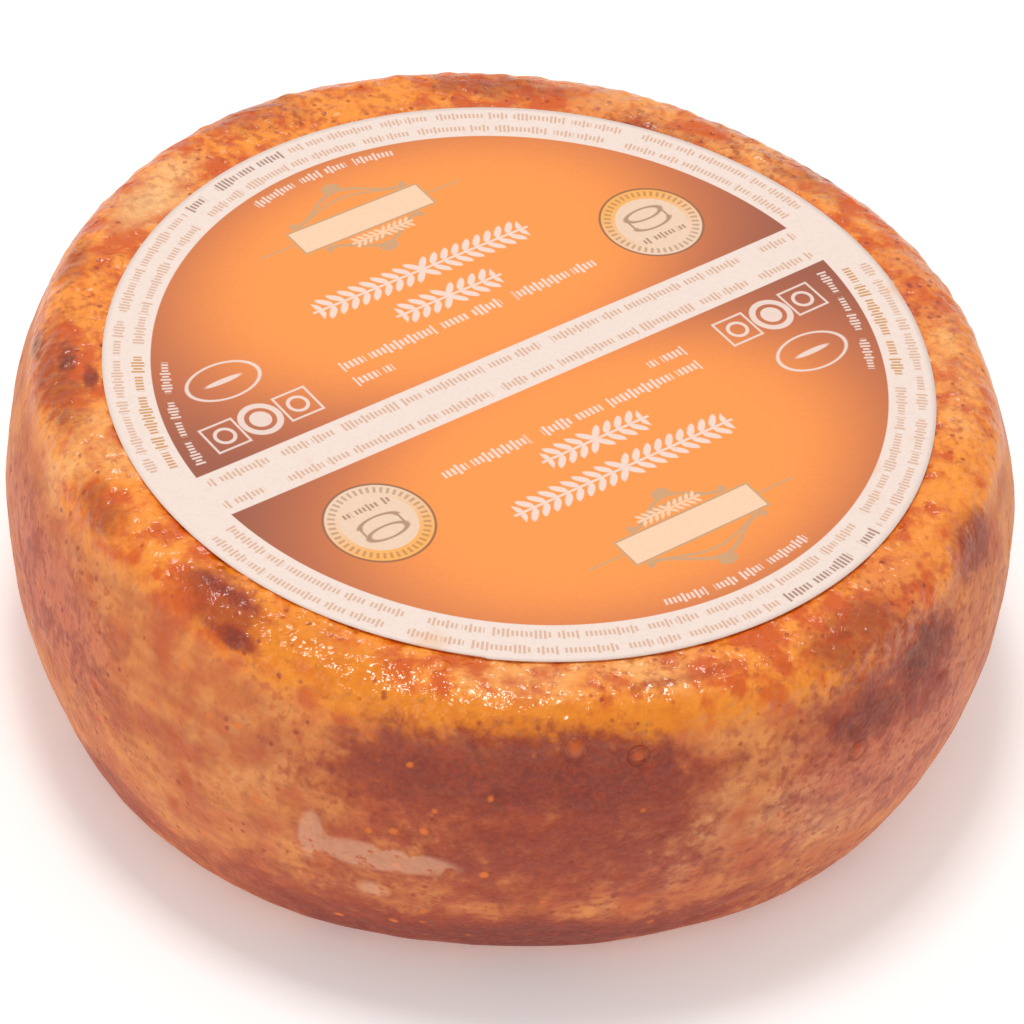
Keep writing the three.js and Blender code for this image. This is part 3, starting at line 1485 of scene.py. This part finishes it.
    def material(self, middle: Sequence[float], radius: float, turn: float) -> bpy.types.Material:
        """Builds the label's nodes: panel, crest, seal and marks, the cream rim, and the sheen.

        Args:
            middle: the label's middle.
            radius: its radius.
            turn: the direction of its band.

        Returns:
            The material.
        """
        board = PrintBoard("printed_label", middle, radius, turn)
        place = board.place()
        paint = self.crest(board, self.panel(board))
        paint = board.blend(self.white_marks(board) * 0.88, paint, self.cream)
        paper, light, golden, heavy = self.rim(board)
        smudge = board.noise(place, 16 * MM, detail=3).step(0.66, 0.8)
        fibre = board.noise(place, 0.6 * MM, detail=2)
        paint = board.coats(
            self.seal(board, paint),
            (paper, self.cream),
            (light * 0.56, self.ochre),
            (golden * 0.85, self.mustard),
            (heavy * 0.75, self.brown),
            (smudge * paper * 0.35, self.oil),
            (fibre.step(0.6, 0.3) * 0.05, self.brown),
        )
        wave = board.noise(place, 14 * MM, detail=1)
        height = (fibre - 0.5) * (0.02 * MM) + (wave - 0.5) * (0.25 * MM)
        return board.finish(
            Base_Color=paint,
            Roughness=(fibre - 0.5) * 0.12 + 0.5,
            Normal=board.bump(height, 0.6),
            Specular_IOR_Level=0.4,
        )


@dataclass
class PaperLabel:
    """The round paper label: a thin closed sheet that lies on the rind and lifts at its edge."""

    finish: LabelFinish = field(default_factory=LabelFinish)
    facets: int = 360
    top_rings: int = 44
    under_rings: int = 12
    band_turn: float = math.radians(40.7)
    lift: float = 0.45 * MM
    clearance: float = 0.04 * MM
    slack: float = 0.9 * MM
    ripple: float = 0.1 * MM
    crowding: float = 0.7
    grain: Grain = field(default_factory=lambda: Grain(63))

    def build(self) -> bpy.types.Object:
        """Makes the sheet, from the middle of its face over its edge to the middle of its back.

        The height is the paper's thickness or nothing, plus a wave that grows with the square of
        the distance from the middle; the edge runs a little out of round.

        Returns:
            The piece.
        """
        low, high = (np.array(corner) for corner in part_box("paper_label"))
        middle, radius = (low + high) / 2, (high[0] - low[0]) / 2
        face = np.linspace(0, 1, self.top_rings + 1)[1:] ** self.crowding
        back = np.linspace(1, 0, self.under_rings + 1)[:-1]
        share = np.concatenate([face, [1.0], back])
        thick = high[2] - low[2]
        rise = np.concatenate([np.full(len(face), thick), [thick / 2], np.zeros(len(back))])
        share, turn = np.meshgrid(share, np.arange(self.facets), indexing="ij")
        rise = np.broadcast_to(rise[:, None], share.shape)
        angle = turn * 2 * math.pi / self.facets + FRONT
        slack = self.slack * np.exp(-(((angle - FRONT + 0.3) / 0.25) ** 2))
        out = share * (radius + slack * share**4)
        flat = np.stack([out * np.cos(angle), out * np.sin(angle), np.zeros_like(out)], axis=-1)
        curl = self.lift * share**6 * (0.5 + self.grain.rough(flat, 42 * MM, 2))
        wave = self.ripple * (1 + self.grain.rough(flat + 1, 24 * MM, 2)) * share**0.5
        under = np.array([middle[0], middle[1], low[2] - self.clearance])
        places = flat + under
        places[..., 2] = under[2] + rise + np.clip(curl, 0, None) + wave
        grid = TurnedGrid(places, under + [0, 0, thick], under)
        material = self.finish.material(middle, radius, self.band_turn)
        piece = hang("label_sheet", grid.mesh("label_sheet", self.lay), material)
        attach(piece, BODY)
        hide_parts("paper_label")
        return piece

    def lay(
        self, ring: np.ndarray, turn: np.ndarray, home_ring: np.ndarray, home_turn: np.ndarray
    ) -> np.ndarray:
        """The bake map: the face on a large disc, and the edge and back on a small one beside it.

        Args:
            ring: the ring of each corner.
            turn: its turn.
            home_ring: the ring of its face's middle.
            home_turn: not used, because no face is cut.

        Returns:
            Places on the map.
        """
        angle = turn * 2 * math.pi / self.facets + FRONT
        face_share = ((ring + 1) / self.top_rings) ** self.crowding
        last = self.top_rings + 1 + self.under_rings
        back_share = (last - ring) / (self.under_rings + 2)
        face = on_disc(angle, np.clip(face_share, 0, 1), (0.5, 0.5), 0.498)
        back = on_disc(angle, back_share, (0.07, 0.07), 0.068)
        return np.where((home_ring < self.top_rings - 1)[..., None], face, back)


# ---- the studio
@dataclass(frozen=True)
class SoftBox:
    """A square white light that faces the cheese: where it hangs, its side and its power."""

    name: str
    place: tuple[float, float, float]
    side: float
    power: float


@dataclass
class Studio:
    """A pale floor, white surroundings, soft boxes, and the camera."""

    floor_side: float = 6.0
    floor_paint: Tint = colour(252, 251, 250)
    floor_grey: Tint = colour(235, 234, 232)
    surroundings: float = 0.68
    floor_glow: float = 0.15
    boxes: tuple[SoftBox, ...] = (
        SoftBox("top_box", (-0.1, 0.06, 1.0), 0.22, 3.4),
        SoftBox("front_box", (-0.5, -0.9, 0.7), 0.5, 0.8),
    )
    lens: float = 152.5
    aim: tuple[float, float, float] = (1.04 * MM, 13.7 * MM, 13.26 * MM)
    distance: float = 701.9 * MM
    elevation: float = math.radians(42.79)
    roll: float = math.radians(-6.26)

    def set_camera(self) -> None:
        """Places the camera: back along the view from its aim, and rolled about the view."""
        camera = bpy.data.objects.new("camera", bpy.data.cameras.new("camera"))
        bpy.context.collection.objects.link(camera)
        camera.data.lens = self.lens
        camera.data.clip_start = 0.01
        back = Vector((0, -math.cos(self.elevation), math.sin(self.elevation)))
        up = Vector((0, math.sin(self.elevation), math.cos(self.elevation)))
        across = Vector((1, 0, 0))
        right = math.cos(self.roll) * across - math.sin(self.roll) * up
        top = math.sin(self.roll) * across + math.cos(self.roll) * up
        turned = Matrix((right, top, back)).transposed().to_4x4()
        camera.matrix_world = Matrix.Translation(Vector(self.aim) + self.distance * back) @ turned
        bpy.context.scene.camera = camera

    def lay_floor(self) -> None:
        """Lays the floor under the base."""
        half = self.floor_side / 2
        mesh = bpy.data.meshes.new("floor")
        corners = [(-half, -half, 0), (half, -half, 0), (half, half, 0), (-half, half, 0)]
        mesh.from_pydata(corners, [], [(0, 1, 2, 3)])
        board = Board("floor_paint")
        grain = board.noise(board.place(), 0.4, detail=2)
        paint = board.blend(grain * 0.06, self.floor_paint, self.floor_grey)
        glow = {"Emission_Color": (1.0, 1.0, 1.0, 1.0), "Emission_Strength": self.floor_glow}
        floor = hang("floor", mesh, board.finish(Base_Color=paint, Roughness=0.75, **glow))

    def light(self) -> None:
        """Fills the surroundings with white and hangs the soft boxes."""
        world = bpy.data.worlds.new("surroundings")
        world.use_nodes = True
        background = world.node_tree.nodes["Background"]
        background.inputs["Color"].default_value = (1.0, 1.0, 1.0, 1.0)
        background.inputs["Strength"].default_value = self.surroundings
        bpy.context.scene.world = world
        bpy.context.scene.view_settings.view_transform = "Standard"
        for box in self.boxes:
            lamp = bpy.data.lights.new(box.name, "AREA")
            lamp.size, lamp.energy = box.side, box.power
            hung = bpy.data.objects.new(box.name, lamp)
            hung.location = box.place
            hung.rotation_euler = Vector(box.place).to_track_quat("Z", "Y").to_euler()
            bpy.context.collection.objects.link(hung)


def main() -> None:
    """Sets the studio, makes each piece in order and reports it."""
    logging.basicConfig(level=logging.INFO, format="%(name)s: %(message)s")
    studio = Studio()
    studio.set_camera()
    studio.light()
    studio.lay_floor()
    for maker in (CheeseWheel(), PaperLabel()):
        piece = maker.build()
        mesh = piece.data
        LOG.info("%s: %d points, %d faces", piece.name, len(mesh.vertices), len(mesh.polygons))


if __name__ == "__main__":
    main()
